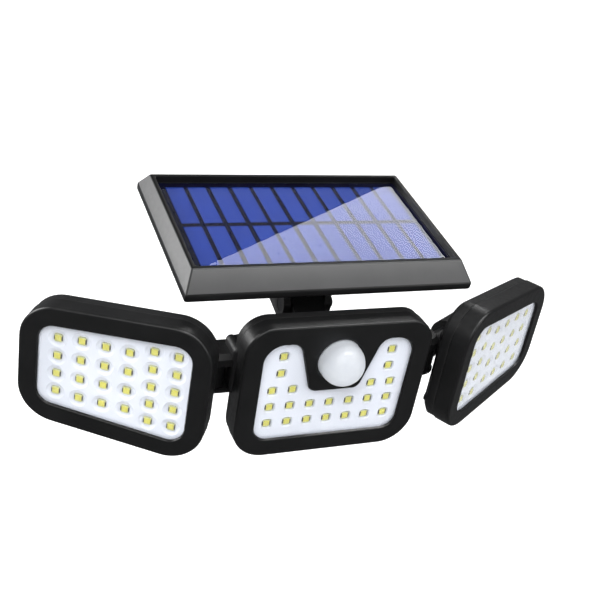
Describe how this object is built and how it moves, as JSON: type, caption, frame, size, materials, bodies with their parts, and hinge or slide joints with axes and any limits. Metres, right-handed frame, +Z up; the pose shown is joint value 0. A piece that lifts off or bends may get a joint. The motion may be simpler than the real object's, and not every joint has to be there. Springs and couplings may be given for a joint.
{
  "type": "motion sensor security light",
  "caption": "Solar wall light with a fixed middle head, two side heads that swing and roll, a motion sensor dome and a tilting solar panel above.",
  "frame": {"origin": "centre of the wall plate's back face, on the wall", "axes": "+X to the right as seen from the front, +Y into the wall, +Z up; the lamp faces -Y"},
  "size_m": [0.3812, 0.1895, 0.1379],
  "materials": {
    "housing": "satin black moulding",
    "arm_plastic": "satin black moulding",
    "bracket": "black powder coat",
    "panel_plastic": "satin dark grey moulding",
    "clear_lens": "clear moulded cover",
    "dome_lens": "milky faceted dome",
    "reflector": "white moulding",
    "led": "yellow phosphor in a pale case",
    "board": "white solder mask",
    "control": "green solder mask",
    "seal": "matt black",
    "steel": "zinc plated",
    "sensor": "plain can",
    "cell": "blue solar cell",
    "backing": "dark blue sheet",
    "panel_glass": "clear sheet",
    "battery": "shrink sleeve",
    "button": "soft black cap"
  },
  "bodies": {
    "lamp_body": {"wall_bracket": "bracket", "bracket_screws": "steel", "middle_frame": "housing", "middle_shell": "housing", "middle_lens": "clear_lens", "middle_reflector": "reflector", "middle_board": "board", "middle_leds": "led", "middle_seal": "seal", "middle_screws": "steel", "sensor_dome": "dome_lens", "sensor_can": "sensor", "battery": "battery", "battery_cradle": "housing", "control_board": "control", "left_pivot_bolt": "steel", "left_pivot_nut": "steel", "right_pivot_bolt": "steel", "right_pivot_nut": "steel"},
    "solar_panel": {"panel_frame": "panel_plastic", "panel_glass": "panel_glass", "panel_cells": "cell", "panel_backing": "backing", "panel_cover": "panel_plastic", "panel_cover_screws": "steel", "panel_clevis": "arm_plastic", "panel_clevis_screws": "steel", "hinge_bolt": "steel", "hinge_nut": "steel", "hinge_washers": "seal"},
    "mode_button": {"mode_button": "button"},
    "left_arm": {"left_knuckle": "arm_plastic", "left_stub_seal": "seal", "left_stub_washer": "steel", "left_stub_screw": "steel"},
    "left_head": {"left_frame": "housing", "left_shell": "housing", "left_lens": "clear_lens", "left_reflector": "reflector", "left_board": "board", "left_leds": "led", "left_seal": "seal", "left_screws": "steel", "left_socket_cap": "arm_plastic"},
    "right_arm": {"right_knuckle": "arm_plastic", "right_stub_seal": "seal", "right_stub_washer": "steel", "right_stub_screw": "steel"},
    "right_head": {"right_frame": "housing", "right_shell": "housing", "right_lens": "clear_lens", "right_reflector": "reflector", "right_board": "board", "right_leds": "led", "right_seal": "seal", "right_screws": "steel", "right_socket_cap": "arm_plastic"}
  },
  "joints": [
    {"name": "panel_tilt", "type": "hinge", "parent": "lamp_body", "child": "solar_panel", "pos_m": [0, -0.106, -0.005], "axis": [1, 0, 0], "range_deg": [-18, 2]},
    {"name": "left_swing", "type": "hinge", "parent": "lamp_body", "child": "left_arm", "pos_m": [-0.0765, -0.144, -0.0278], "axis": [0, 0, -1], "range_deg": [-32, 28]},
    {"name": "right_swing", "type": "hinge", "parent": "lamp_body", "child": "right_arm", "pos_m": [0.0765, -0.144, -0.0278], "axis": [0, 0, 1], "range_deg": [-29.7, 28]},
    {"name": "left_roll", "type": "hinge", "parent": "left_arm", "child": "left_head", "pos_m": [-0.0765, -0.144, -0.0278], "axis": [-0.848, 0.5299, 0], "range_deg": [-20, 8]},
    {"name": "right_roll", "type": "hinge", "parent": "right_arm", "child": "right_head", "pos_m": [0.0765, -0.144, -0.0278], "axis": [0.8686, 0.4955, 0], "range_deg": [-8, 20]},
    {"name": "mode_press", "type": "slide", "parent": "lamp_body", "child": "mode_button", "axis": [0, -1, 0], "range_m": [0, 0.0012], "stiffness_N_per_m": 800, "springref_m": -0.0005}
  ]
}
